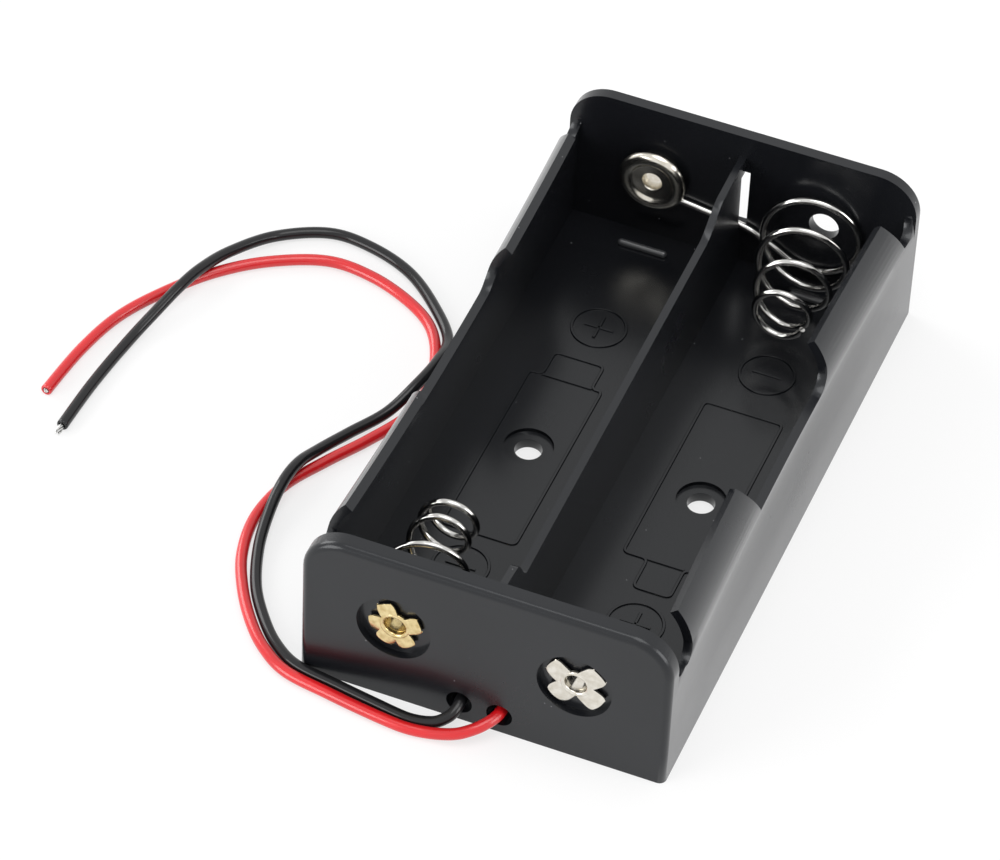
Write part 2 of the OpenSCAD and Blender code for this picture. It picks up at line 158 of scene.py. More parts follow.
# %% [markdown]
# ## Leads
# Two soft insulated wires come out of the end wall, sweep round the corner, cross in long low
# humps and end in bare cut ends. They could be simulated as ropes, but their lie is known, so a
# smooth curve goes through chosen points, and a round tube follows it.

# %% Route of each lead
BLACK_ROUTE = np.array([
    [-2.4, -35.9, 2.5], [-2.4, -37, 2.5], [-2.4, -38.2, 2.45], [-2.5, -39.3, 2.1],
    [-3.1, -40.25, 1.6], [-4.5, -40.95, 1], [-7.2, -41.15, 0.65], [-11.2, -40.6, 0.65],
    [-15.8, -39.85, 0.65], [-20.6, -38.98, 0.65], [-23.6, -37.2, 0.65], [-26.2, -34.5, 0.65],
    [-29, -30.4, 0.65], [-31, -25.3, 0.75], [-31.9, -20.7, 1.3], [-32.1, -16.6, 2.1],
    [-31.8, -13, 2.1], [-30.9, -9.5, 1.3], [-29, -5.2, 0.8], [-26.4, -0.8, 1],
    [-24.7, 3.4, 2.1], [-24, 7.8, 2.1], [-24.7, 12.6, 0.9], [-28.1, 17, 0.65],
    [-32.8, 21, 0.65], [-38.3, 23.1, 0.65], [-43.6, 23.3, 0.65], [-48.9, 20.2, 0.8],
    [-52.2, 15.2, 1.5], [-53.8, 10.8, 2.1], [-54.8, 7, 2.1], [-55.9, 2.8, 1.4],
    [-57, -2, 0.7], [-57.8, -9.5, 0.65], [-58.1, -16.8, 0.65]])
RED_ROUTE = np.array([
    [2.05, -35.9, 2.5], [2.05, -37, 2.5], [1.9, -38.4, 2.4], [1.25, -39.7, 2.2],
    [0.05, -40.9, 1.8], [-1.7, -41.78, 1.25], [-4.4, -42.25, 0.75], [-7.3, -42.45, 0.65],
    [-11.4, -42, 0.65], [-16.1, -41.25, 0.65], [-21.25, -40.25, 0.65], [-24.6, -38.2, 0.65],
    [-27.4, -35.3, 0.65], [-30.2, -31.2, 0.65], [-32.4, -26.4, 0.65], [-33.3, -20.8, 0.65],
    [-32.3, -15.2, 0.65], [-29.7, -10.2, 0.65], [-26.7, -5.2, 0.65], [-24.3, -0.2, 0.65],
    [-23.9, 4.8, 0.65], [-25, 9.7, 0.65], [-27.3, 13.8, 0.65], [-31, 16.6, 0.65],
    [-36.4, 18.7, 0.65], [-42, 19, 0.65], [-48, 16.2, 0.65], [-52.8, 12.1, 0.65],
    [-56.6, 7, 0.65], [-59.6, 1.4, 0.65], [-61.2, -5, 0.65], [-62, -12.6, 0.65]])
LEAD_R = 0.65


def smooth_route(route, steps=10):
    """A curve through the points: on each stretch it is the cubic whose slope at a point is half
    the difference of that point's neighbours. It is kept one radius above the ground."""
    p = np.vstack([route[:1], route, route[-1:]])
    a, b, c, d = p[:-3, None], p[1:-2, None], p[2:-1, None], p[3:, None]
    u = np.linspace(0, 1, steps, endpoint=False)[None, :, None]
    curve = 0.5 * (2 * b + (c - a) * u + (2 * a - 5 * b + 4 * c - d) * u ** 2
                   + (3 * b - a - 3 * c + d) * u ** 3)
    curve = np.vstack([curve.reshape(-1, 3), route[-1:]])
    curve[:, 2] = np.maximum(curve[:, 2], LEAD_R)
    return curve


def length_of(path):
    """The sum of the distances between neighbouring points."""
    return np.linalg.norm(np.diff(path, axis=0), axis=1).sum()

# %% [markdown]
# A cut lead is not a plain cylinder. The blade rounds the rim of the insulation a little, and the
# copper shows in the middle. A few more rings at the end turn the tube's wall inwards and back.

# %% Insulation with a cut end
RIM = np.array([[0.0, 1.0], [0.10, 0.93], [0.14, 0.80], [0.10, 0.62], [-0.5, 0.58], [-0.55, 0.02]])
RIM_DEPTH = 0.14
GROUND_GAP = 0.004


def insulation(name, path, slot):
    """A tube along the path whose last rings turn over the rim and run back along the bore.
    RIM gives each of those rings as (mm along the path, share of the radius)."""
    end, out = path[-1], path[-1] - path[-2]
    out = out / np.linalg.norm(out)
    centres = np.vstack([path[:-1], end + RIM[:, :1] * out - RIM_DEPTH * out])
    radii = np.concatenate([np.full(len(path) - 1, 1.0), RIM[:, 1]]) * LEAD_R
    rings = sweep(path, 1.0, 28, [0, 0, 1]) - path[:, None]
    rings = np.concatenate([rings[:-1], np.repeat(rings[-1:], len(RIM), axis=0)])
    points = centres[:, None] + radii[:, None, None] * rings
    points[..., 2] = np.maximum(points[..., 2], GROUND_GAP)
    return grid_object(name, points * MM, slot, caps=True, smooth=60)


black_path, red_path = smooth_route(BLACK_ROUTE), smooth_route(RED_ROUTE)
black_lead = insulation("black_insulation", black_path, "black_insulation")
red_lead = insulation("red_insulation", red_path, "red_insulation")
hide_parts("black_lead")
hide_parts("red_lead")
print("leads in mm:", round(length_of(black_path), 1), round(length_of(red_path), 1))

# %% [markdown]
# The conductor is a bundle of fine tinned strands. One twisted strand is a wire along a helix,
# and the bundle is the same helix started at seven places, which costs little and reads as real.

# %% Strands
STRANDS, AROUND = 7, 6


def bundle(name, path, spread, twist, slot, seed, wire=0.11):
    """Seven wires round a path: each is at centre + spread (n cos w + b sin w), where w grows along
    the path, and spread may grow towards the end so that the strands part."""
    rng = np.random.default_rng(seed)
    path = np.asarray(path, float)
    s = np.linspace(0, 1, len(path))
    frame_rings = sweep(path, 1.0, 4, [0, 0, 1]) - path[:, None]
    n, b = frame_rings[:, 0], frame_rings[:, 1]
    points, faces, count = [], [], 0
    for k in range(STRANDS):
        w = 2 * np.pi * k / AROUND + twist * s
        off = np.interp(s, [0, 1], spread) * (0 if k == AROUND else 1)
        off = off * (1 + 0.25 * s * rng.uniform(-1, 1))
        line = path + off[:, None] * (np.cos(w)[:, None] * n + np.sin(w)[:, None] * b)
        rings = sweep(line, wire, 8, [0, 0, 1])
        index = np.arange(rings.shape[0] * 8).reshape(-1, 8) + count
        quads = np.stack([index[:-1], np.roll(index[:-1], -1, 1), np.roll(index[1:], -1, 1),
                          index[1:]], -1)
        faces += quads.reshape(-1, 4).tolist() + [index[0, ::-1].tolist(), index[-1].tolist()]
        points.append(rings.reshape(-1, 3))
        count += rings.shape[0] * 8
    return mesh_object(name, np.vstack(points) * MM, faces, slot)


def line_of(*places, steps=14):
    """A smooth curve through a few places."""
    return smooth_route(np.array(places, float), steps)


def bare_end(path, bare):
    """A straight line from just inside the lead's cut end to bare mm beyond it."""
    end, out = path[-1], path[-1] - path[-2]
    out = out / np.linalg.norm(out)
    return end + np.linspace(-0.4, bare, 16)[:, None] * out


black_tip = bundle("black_bare_end", bare_end(black_path, 1.05), [0.2, 0.3], 1.5, "tinned_metal", 3)
red_tip = bundle("red_bare_end", bare_end(red_path, 0.02), [0.2, 0.2], 0.6, "tinned_metal", 4)
TAG_FACE_Y = -36.4 + 0.3
JOINT_Y = TAG_FACE_Y + 0.42
black_line = line_of([-2.4, -35.92, 2.5], [-2.4, -35.5, 2.8], [-2.4, -35.5, 3.6], [-2.3, JOINT_Y, 4.9])
red_line = line_of([2.05, -35.92, 2.5], [2.05, -35.5, 2.8], [2.08, -35.5, 3.6], [2.3, JOINT_Y, 4.9])
black_tail = bundle("black_joint_strands", black_line, [0.2, 0.2], 5, "tinned_metal", 5)
red_tail = bundle("red_joint_strands", red_line, [0.2, 0.2], 5, "tinned_metal", 6)
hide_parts("black_strands")
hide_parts("red_strands")
print("strands:", sum(len(o.data.polygons) for o in (black_tip, red_tip, black_tail, red_tail)), "faces")

# %% [markdown]
# ## Case
# The case is one moulding, and a mould never leaves a knife edge. The solid model's mesh is copied,
# its loose triangles are joined and flat neighbours merged, and a Bevel modifier rounds every edge
# by a tenth of a millimetre, which is where a moulded edge catches the light. Long thin walls also
# cool with a slight bow, so the side walls lean in by just under a millimetre at mid-length, while
# the free edges of the lips spring out a little.

# %% Case with moulded edges
FLAT_ANGLE = 0.6


def merged_copy(node, name, slot, cuts=()):
    """A copy of a CAD node's mesh with its triangles joined into flat faces, and then cut by planes
    given as (axis, place in mm), so that the faces have points to bend at."""
    mesh = frame["nodes"][node].data.copy()
    mesh.name = name
    work = bmesh.new()
    work.from_mesh(mesh)
    bmesh.ops.remove_doubles(work, verts=work.verts, dist=2e-6)
    bmesh.ops.dissolve_limit(work, angle_limit=math.radians(FLAT_ANGLE), verts=work.verts,
                             edges=work.edges)
    for axis, place in cuts:
        normal = [float(k == axis) for k in range(3)]
        everything = work.verts[:] + work.edges[:] + work.faces[:]
        bmesh.ops.bisect_plane(work, geom=everything, dist=1e-6, plane_no=normal,
                               plane_co=[n * place * MM for n in normal])
    work.to_mesh(mesh)
    work.free()
    piece = bpy.data.objects.new(name, mesh)
    scene.collection.objects.link(piece)
    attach(piece, "root")
    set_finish(piece, slot)
    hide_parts(node)
    mesh.shade_smooth()
    return piece


def move_points(mesh, rule):
    """The mesh's points, in mm, are changed by a rule, which also returns how far it moved each."""
    flat = np.empty(len(mesh.vertices) * 3)
    mesh.vertices.foreach_get("co", flat)
    p = flat.reshape(-1, 3) / MM
    moved = rule(p)
    mesh.vertices.foreach_set("co", (p * MM).ravel())
    mesh.update()
    return round(moved.max(), 2)


BOW, BOW_LENGTH, WALL_FOOT, WALL_RIM, WALL_X = 0.9, 36.0, 1.7, 13.5, 16.5
SPRING_OUT, LIP_FOOT, LIP_TIP, LIP_X, LIP_END = 0.85, 12.5, 19.1, 14, 34
PUSH, PUSH_FROM, PUSH_TO = 0.8, 14.0, 29.5


def bow_in(p):
    """Points of the side walls move in by BOW (1 - (y / BOW_LENGTH)^2) h, where h grows smoothly
    from 0 at the foot to 1 at the rim. Points nearer the middle than WALL_X stay."""
    h = np.clip((p[:, 2] - WALL_FOOT) / (WALL_RIM - WALL_FOOT), 0, 1)
    along = np.clip(1 - (p[:, 1] / BOW_LENGTH) ** 2, 0, 1)
    shift = BOW * along * h * h * (3 - 2 * h) * (np.abs(p[:, 0]) > WALL_X)
    p[:, 0] -= np.sign(p[:, 0]) * shift
    return shift


def spring_out(p):
    """Points of the lips move out by SPRING_OUT h, where h grows from 0 at LIP_FOOT to 1 at
    LIP_TIP. Towards the far end they also move along Y, by up to PUSH h."""
    h = np.clip((p[:, 2] - LIP_FOOT) / (LIP_TIP - LIP_FOOT), 0, 1)
    h = h * (np.abs(p[:, 0]) > LIP_X) * (np.abs(p[:, 1]) < LIP_END)
    p[:, 0] += np.sign(p[:, 0]) * SPRING_OUT * h
    p[:, 1] += PUSH * h * np.clip((p[:, 1] - PUSH_FROM) / (PUSH_TO - PUSH_FROM), 0, 1)
    return SPRING_OUT * h


wall_cuts = [(1, y) for y in range(-34, 36, 4)] + [(2, z) for z in (4, 6.5, 9, 11)]
case = merged_copy("case", "case_moulding", "black_plastic", wall_cuts)
print("the side walls bow in by", move_points(case.data, bow_in), "mm")
print("the lips spring out by", move_points(case.data, spring_out), "mm")
bevel = case.modifiers.new("moulded_edges", "BEVEL")
bevel.width, bevel.segments = 0.00014, 2
bevel.limit_method, bevel.angle_limit = "ANGLE", math.radians(40)
even_shading = case.modifiers.new("even_shading", "WEIGHTED_NORMAL")
even_shading.weight = 100
print("case:", len(case.data.polygons), "faces before its edges are rounded")

# %% [markdown]
# ## Floor marks
# Low ridges on the floor show which way round each cell goes: an outline of a cell, and a plus
# or a minus in a ring at each end. They could be a bump in the material, but real ridges keep
# their shadow at a low angle, so each is a narrow bar along a line with mitred corners.

# %% Ridges on the floor
def rounded(path, reach=0.7, steps=5):
    """A closed line with its corners rounded: each becomes the curve (1-u)^2 a + 2u(1-u) p + u^2 b,
    where p is the corner, and a and b lie one reach before and after it, or less on a short side."""
    p = np.asarray(path, float)
    before, after = np.roll(p, 1, axis=0) - p, np.roll(p, -1, axis=0) - p
    a = p + before * np.minimum(reach / np.linalg.norm(before, axis=1, keepdims=True), 0.4)
    b = p + after * np.minimum(reach / np.linalg.norm(after, axis=1, keepdims=True), 0.4)
    u = np.linspace(0, 1, steps)[None, :, None]
    return ((1 - u) ** 2 * a[:, None] + 2 * u * (1 - u) * p[:, None] + u ** 2 * b[:, None]).reshape(-1, 2)


def ridge(path, closed, width=0.34, low=1.66, high=1.86):
    """A bar along a flat path: at each point it goes out by half the width along the mitre, which is
    the sum of the two neighbouring side directions over one plus their dot product."""
    p = np.asarray(path, float)
    side = (np.roll(p, -1, axis=0) - p) if closed else np.diff(p, axis=0)
    side = side / np.linalg.norm(side, axis=1, keepdims=True)
    side = np.stack([-side[:, 1], side[:, 0]], axis=1)
    before = np.roll(side, 1, axis=0) if closed else np.vstack([side[:1], side])
    after = side if closed else np.vstack([side, side[-1:]])
    mitre = (before + after) / (1 + (before * after).sum(axis=1, keepdims=True))
    across = np.array([-1.15, -1.0, -0.7, 0.7, 1.0, 1.15]) * width / 2
    height = np.array([low, high - 0.05, high, high, high - 0.05, low])
    flat = p[:, None] + across[None, :, None] * mitre[:, None]
    tall = np.broadcast_to(height[None, :, None], flat.shape[:2] + (1,))
    return np.concatenate([flat, tall], axis=2)


def circle(x, y, r, n=48):
    """Points of a circle in the plane."""
    a = np.linspace(0, 2 * np.pi, n, endpoint=False)
    return np.stack([x + r * np.cos(a), y + r * np.sin(a)], axis=1)


SIGN_R, STROKE = 3.05, 1.7


def polarity(name, x, y, plus):
    """A ring with one stroke across it for a minus, or two for a plus."""
    ring = ridge(circle(x, y, SIGN_R), True) * MM
    pieces = [grid_object(name + "_ring", ring, "black_plastic", along=True)]
    strokes = [[[x - STROKE, y], [x + STROKE, y]]]
    strokes += [[[x, y - STROKE], [x, y + STROKE]]] if plus else []
    for k, stroke in enumerate(strokes):
        points = ridge(stroke, False) * MM
        pieces.append(grid_object(f"{name}_bar_{k}", points, "black_plastic", caps=True))
    return pieces


left_outline = [[-12.8, 11], [-14.3, 11], [-14.3, -14.5], [-5.8, -14.5],
                [-5.8, 11], [-7, 11], [-7, 14.8], [-12.8, 14.8]]
left_neck = [[-12.8, 11], [-7, 11]]
right_outline = [[7.9, -10.6], [5.1, -10.6], [5.1, 14.3], [14.2, 14.3],
                 [14.2, -10.6], [12.1, -10.6], [12.1, -15], [7.9, -15]]
right_neck = [[7.9, -10.6], [12.1, -10.6]]
marks = polarity("left_plus", -9.8, 20.4, True) + polarity("left_minus", -10, -19.6, False)
marks += polarity("right_minus", 9.9, 21, False) + polarity("right_plus", 10.1, -20, True)
for name, line, closed in (("left_outline", left_outline, True), ("left_neck", left_neck, False),
                           ("right_outline", right_outline, True), ("right_neck", right_neck, False)):
    points = ridge(rounded(line) if closed else line, closed) * MM
    marks.append(grid_object(name, points, "black_plastic", along=closed, caps=not closed))
print(len(marks), "ridges")

# %% [markdown]
# A short rounded bar stands on the floor in front of the first turn of each spring and of each
# dish, and keeps them against the wall. Its finish is glossier than the case, and its much lighter grey
# colour is a painted highlight, so that the bar shows as a thin bright line.

# %% Rounded bars at the ends of the bays
BAR_R, BAR_Z, END_ROWS = 0.42, 1.93, 7
quarter = np.linspace(0, np.pi / 2, END_ROWS)
bar_end = np.maximum(np.sin(quarter), 0.05)
bar_radius = BAR_R * np.concatenate([bar_end, np.ones(10), bar_end[::-1]])
bar_step = BAR_R * (1 - np.cos(quarter))
bars = []
for name, x, y, reach in (("far_left_bar", -9.95, 34.2, 2.95), ("far_right_bar", 10.3, 34.2, 2.6),
                          ("near_left_bar", -10.05, -33.1, 2.6), ("near_right_bar", 10.05, -33.1, 2.6)):
    along = np.concatenate([-reach + bar_step, np.linspace(-reach + 0.5, reach - 0.5, 10),
                            reach - bar_step[::-1]])
    line = np.stack([x + along, 0 * along + y, 0 * along + BAR_Z], axis=1)
    rings = sweep(line, bar_radius, 16, [0, 0, 1])
    bars.append(grid_object(name, rings * MM, "black_plastic", caps=True))
print(len(bars), "bars")

# %% [markdown]
# ## Springs
# Each spring is one nickel-plated wire: a flat turn against the wall, a cone that narrows towards
# the cell, and a closed turn at the tip. A Screw modifier can't narrow and shift at once, so the
# wire's middle line is written as a function of the turning angle.

# %% Wire of the springs
WIRE_D = 0.75
WIRE_R = WIRE_D / 2
BARREL_D, BARREL_GAP = 2.9, 0.05
CONTACT_Z = 10.4
BAY_X = 10.05
NEAR_WIRE_Y, FAR_WIRE_Y = -35.7, 36.8
BASE_R, TIP_R = 5.5, 2.95
BASE_X, BASE_Z = BAY_X - 1.05, CONTACT_Z - 1.1
FIRST = 240.0


def cone_wire(turns, pitch, y_base, y_tip, tip):
    """Turning angle a in degrees, from FIRST to the last of the turns. climb goes from 0 to 1
    between the first two of them, and the radius is TIP_R + (BASE_R - TIP_R)(1 - climb^1.5).
    After that the turns keep their size, one pitch apart. tip is the (x, z) they close round."""
    a = np.arange(FIRST, turns[2] + 1, 6.0)
    side = np.sign(y_tip - y_base)
    closed = (turns[2] - turns[1]) / 360 * pitch
    climb = np.clip((a - turns[0]) / (turns[1] - turns[0]), 0, 1)
    y = y_base + (y_tip - side * closed - y_base) * climb
    y = y + side * np.maximum(0, a - turns[1]) / 360 * pitch
    r = TIP_R + (BASE_R - TIP_R) * (1 - climb ** 1.5)
    x = BASE_X + (tip[0] - BASE_X) * climb + r * np.cos(np.radians(a))
    z = BASE_Z + (tip[1] - BASE_Z) * climb + r * np.sin(np.radians(a))
    return np.stack([x, y, z], axis=1)


def loop_wire(a, x, y, r):
    """A flat turn of radius r about a contact."""
    a = np.radians(a)
    return np.stack([x + r * np.cos(a), 0 * a + y, CONTACT_Z + r * np.sin(a)], axis=1)


def even(path, step=0.25):
    """The same line with points at equal distances, so that its stretches meet smoothly."""
    s = np.concatenate([[0], np.cumsum(np.linalg.norm(np.diff(path, axis=0), axis=1))])
    at = np.linspace(0, s[-1], int(s[-1] / step) + 1)
    return np.stack([np.interp(at, s, path[:, k]) for k in range(3)], axis=1)


def wire_object(name, path, slot):
    """A round wire whose two ends are sheared off with a small burr."""
    path = even(path)
    radius = np.full(len(path), WIRE_R)
    radius[[0, -1]] *= 0.86
    return grid_object(name, sweep(path, radius, 20, [0, 1, 0]) * MM, slot, caps=True, smooth=60)


loop_r = (BARREL_D + WIRE_D) / 2 + BARREL_GAP
link_line = np.array([[-6.6, 8.3], [-2.5, 7.7], [0, 7.45], [1.8, 7.0], [3.5, 6.15], [4.9, 5.4]])
start_loop = loop_wire(np.arange(-30, 271, 6.0), -BAY_X, FAR_WIRE_Y, loop_r)
far_tip_y = 37.2 - 14.7 + WIRE_R
cone = cone_wire((380, 1502, 1782), 0.8, FAR_WIRE_Y, far_tip_y, (BAY_X, BASE_Z - 0.2))
link_x, link_z = link_line.T
bridge = np.vstack([start_loop[-1], np.stack([link_x, 0 * link_x + FAR_WIRE_Y, link_z], 1), cone[0]])
bridge_curve = smooth_route(bridge, 12)
link_wire = np.vstack([start_loop, bridge_curve[1:-1], cone])
link_spring = wire_object("link_spring_wire", link_wire, "spring_wire")
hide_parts("link_spring")

# The near spring is worked out at the other end of the case and then turned end for end.
LEAD_IN, FLAT_PART = 540, 300
a = np.arange(FIRST - LEAD_IN, FIRST, 6.0)
t = np.maximum(0, (a - FIRST + LEAD_IN - FLAT_PART) / (LEAD_IN - FLAT_PART))
opening = t * t * (3 - 2 * t)
radius = loop_r + (BASE_R - loop_r) * opening
start = np.stack([BAY_X + (BASE_X - BAY_X) * opening + radius * np.cos(np.radians(a)),
                  0 * a - NEAR_WIRE_Y,
                  CONTACT_Z + (BASE_Z - CONTACT_Z) * opening + radius * np.sin(np.radians(a))], axis=1)
near_tip_y = 36.4 - 16.0 + WIRE_R
near_cone = cone_wire((400, 1120, 1800), 2.3, -NEAR_WIRE_Y, near_tip_y, (BAY_X + 0.4, BASE_Z + 1.6))
turned = np.vstack([start, near_cone]) * [-1, -1, 1]
negative_spring = wire_object("negative_spring_wire", turned, "spring_wire")
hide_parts("negative_spring")
print("spring wires in mm:", round(length_of(turned)), round(length_of(link_wire)))

# %% [markdown]
# ## Rivets
# Each contact is a tubular rivet. Outside, its end is split and the strips are bent outwards like
# petals. A petal is a sheet that keeps its width while its distance from the axis grows, so at
# the root the petals still close into a tube. Solidify then gives the sheet its thickness.

# %% Petals
ROOT_R, ROOT_BEND, INSIDE = 1.33, 0.42, 0.5
NEAR_MOUTH_Y, FAR_MOUTH_Y = -37.65, 38.42
SHEET, SOFT_EDGE = 0.00026, 0.00006


def petals(name, centre, out, turns, width, reach, slot, seed):
    """Rows run from the barrel outwards and columns across a petal. The angle across is the width
    over the distance from the axis, and each petal gets its own small tilt and twist."""
    rng = np.random.default_rng(seed)
    s = np.linspace(0, 1, 22)[:, None]
    v = np.linspace(-1, 1, 13)[None, :]
    arc = ROOT_BEND * np.pi / 2
    total = arc + (reach - ROOT_R - ROOT_BEND)
    d = s * (total + INSIDE) - INSIDE
    angle = np.clip(d, 0, arc) / ROOT_BEND
    r = ROOT_R + ROOT_BEND * (1 - np.cos(angle)) + np.maximum(0, d - arc)
    h = ROOT_BEND * np.sin(angle) + np.minimum(0, d)
    beyond = np.clip((r - ROOT_R - ROOT_BEND) / (reach - ROOT_R - ROOT_BEND), 0, 1)
    corner = np.sqrt(np.clip(1 - (np.abs(v) ** 6) * beyond ** 8 * 0.55, 0.2, 1))
    pieces = []
    for k, turn in enumerate(turns):
        droop = rng.uniform(-0.10, 0.06)
        twist, bias = rng.uniform(-0.10, 0.10), rng.uniform(-0.07, 0.07)
        w = width * (1 + 0.05 * beyond + 0.02 * np.sin(5 * v + k))
        a = math.radians(turn) + bias * beyond + v * corner * w / 2 / r
        y = h + droop * beyond * (r - ROOT_R) + twist * v * beyond - 0.10 * v ** 2 * beyond
        points = np.stack([centre[0] + r * np.cos(a), centre[1] + out * y,
                           centre[2] + r * np.sin(a)], axis=-1)
        piece = grid_object(f"{name}_petal_{k}", points * MM, slot, around=False)
        solid = piece.modifiers.new("sheet", "SOLIDIFY")
        solid.thickness, solid.offset = SHEET, 0
        soft = piece.modifiers.new("soft_edges", "BEVEL")
        soft.width, soft.segments = SOFT_EDGE, 2
        pieces.append(piece)
    return pieces


def mouth_profile(out, r=0.29, x=1.47):
    """The rolled edge of the tube, from which the petals start: a round bead on a thin wall."""
    a = np.radians(np.linspace(185, -40, 17))
    bead = np.stack([x + r * np.cos(a), r + r * np.sin(a)], axis=1)
    rows = np.vstack([[[1.18, -0.6]], bead, [[1.44, -0.1], [1.44, -0.6]]])
    return rows * [1, out]


def barrel_profile(flange_r, top, bottom, inner=1.15, outer=1.45):
    """A closed outline of (radius, y): the flange's face, its rounded rim, the barrel and its bore."""
    return [[inner + 0.14, top], [flange_r - 0.12, top], [flange_r, top - 0.12], [flange_r, top - 0.22],
            [flange_r - 0.06, top - 0.3], [outer, top - 0.3], [outer, bottom], [inner, bottom],
            [inner, top - 0.16], [inner + 0.04, top - 0.05]]


brass_place, near_place = (-BAY_X, NEAR_MOUTH_Y, CONTACT_Z), (BAY_X, NEAR_MOUTH_Y, CONTACT_Z)
link_place = (-BAY_X, FAR_MOUTH_Y, CONTACT_Z)
brass_petals = petals("negative", brass_place, -1, (20, 115, 190, 245, 305), 2.15, 2.95, "brass", 11)
brass_barrel = lathe("negative_barrel", barrel_profile(2.7, 2.65, 0.05), brass_place, "brass")
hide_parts("negative_rivet")
near_petals = petals("positive", near_place, -1, (43, 153, 225, 323), 2.65, 3.45, "nickel", 12)
link_petals = petals("link", link_place, 1, (50, 140, 230, 320), 2.65, 3.45, "nickel", 13)
mouths = [lathe("negative_mouth", mouth_profile(-1), brass_place, "brass"),
          lathe("positive_mouth", mouth_profile(-1), near_place, "nickel"),
          lathe("link_mouth", mouth_profile(1), link_place, "nickel")]
print(len(brass_petals + near_petals + link_petals), "petals and", len(mouths), "rolled edges")

# %% [markdown]
# The inside of the two positive contacts is a shallow pressed dish with a rolled bead, which
# the button of the cell meets. A profile turned about the rivet's axis gives it in one surface.

# %% Dished contacts
BEAD_X, DISH_T = 3.1, 0.28


def dish_profile(direction, floor_y, barrel_end, bead_r=0.8):
    """The outline in (radius, y), written for a dish that faces -Y, and mirrored by direction."""
    a = np.radians(np.linspace(176, 0, 20))
    outside = np.stack([BEAD_X + bead_r * np.cos(a), -0.15 + bead_r * np.sin(a)], axis=1)
    outside = outside[outside[:, 1] > -0.02]
    inner_r = bead_r - DISH_T
    inside = np.stack([BEAD_X + inner_r * np.cos(a[::-1]), -0.15 + inner_r * np.sin(a[::-1])], axis=1)
    inside = inside[inside[:, 1] > 0.0]
    rows = [[1.3, 0.28], [2.2, 0.28]] + outside[outside[:, 0] > 2.4].tolist()
    rows += [[BEAD_X + bead_r - 0.02, 0.0], [BEAD_X + bead_r - 0.28, 0.0]] + inside.tolist()
    rows += [[2.2, 0.0], [1.45, 0.0], [1.45, barrel_end], [1.15, barrel_end], [1.15, 0.12],
             [1.19, 0.22]]
    rows = np.array(rows)
    return np.stack([rows[:, 0], floor_y + direction * rows[:, 1]], axis=1)


positive_dish = lathe("positive_dish", dish_profile(1, 0, -1.5), (BAY_X, -36.075, CONTACT_Z),
                      "nickel", sides=96)
link_dish = lathe("link_dish", dish_profile(-1, 0, -1.95, 0.88), (-BAY_X, 36.4, CONTACT_Z),
                  "nickel", sides=96)
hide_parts("positive_rivet")
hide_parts("link_rivet")
print("dishes:", len(positive_dish.data.polygons), len(link_dish.data.polygons), "faces")

# %% [markdown]
# ## Finishes
# Three effects are used by more than one finish, so each is a node group with named inputs: fine
# grain of a moulded or drawn surface, slow unevenness of its shine, and pale specks of dust.

# %% Effects shared by the finishes
def group(name, inputs, outputs):
    """A node group with number inputs as (name, value) and outputs as (name, socket type)."""
    tree = bpy.data.node_groups.new(name, "ShaderNodeTree")
    for label, value in inputs:
        socket = tree.interface.new_socket(label, in_out="INPUT", socket_type="NodeSocketFloat")
        socket.default_value = value
    for label, kind in outputs:
        tree.interface.new_socket(label, in_out="OUTPUT", socket_type=kind)
    return tree, tree.nodes.new("NodeGroupInput"), tree.nodes.new("NodeGroupOutput")


def node(tree, kind, settings=None, **inputs):
    """A new node with its settings. Inputs are given by name, or as i0, i1 by number: a socket is
    linked, and a value is set."""
    made = tree.nodes.new(kind)
    for key, value in (settings or {}).items():
        setattr(made, key, value)
    for key, value in inputs.items():
        by_number = key[0] == "i" and key[1:].isdigit()
        socket = made.inputs[int(key[1:]) if by_number else key.replace("_", " ")]
        if isinstance(value, bpy.types.NodeSocket):
            tree.links.new(value, socket)
        else:
            socket.default_value = value
    return made


def uneven_group():
    """Roughness = Middle + Swing (noise - 0.5) at a slow scale, plus a finer layer a third as strong."""
    tree, gin, gout = group("uneven_shine", [("Middle", 0.4), ("Swing", 0.1), ("Scale", 120.0)],
                            [("Roughness", "NodeSocketFloat")])
    where = node(tree, "ShaderNodeTexCoord").outputs["Object"]
    slow = node(tree, "ShaderNodeTexNoise", Vector=where, Scale=gin.outputs["Scale"], Detail=3.0)
    fine_scale = node(tree, "ShaderNodeMath", {"operation": "MULTIPLY"}, i0=gin.outputs["Scale"], i1=9.0)
    fine = node(tree, "ShaderNodeTexNoise", Vector=where, Scale=fine_scale.outputs[0], Detail=2.0)
    both = node(tree, "ShaderNodeMath", {"operation": "MULTIPLY_ADD"}, i0=fine.outputs[0], i1=0.33,
                i2=slow.outputs[0])
    centred = node(tree, "ShaderNodeMath", {"operation": "SUBTRACT"}, i0=both.outputs[0], i1=0.665)
    swung = node(tree, "ShaderNodeMath", {"operation": "MULTIPLY_ADD", "use_clamp": True},
                 i0=centred.outputs[0], i1=gin.outputs["Swing"], i2=gin.outputs["Middle"])
    tree.links.new(swung.outputs[0], gout.inputs["Roughness"])
    return tree


def grain_group():
    """Height = fine noise in the piece's own coordinates."""
    tree, gin, gout = group("fine_grain", [("Scale", 2500.0)], [("Height", "NodeSocketFloat")])
    where = node(tree, "ShaderNodeTexCoord").outputs["Object"]
    noise = node(tree, "ShaderNodeTexNoise", Vector=where, Scale=gin.outputs["Scale"], Detail=2.0)
    tree.links.new(noise.outputs[0], gout.inputs["Height"])
    return tree


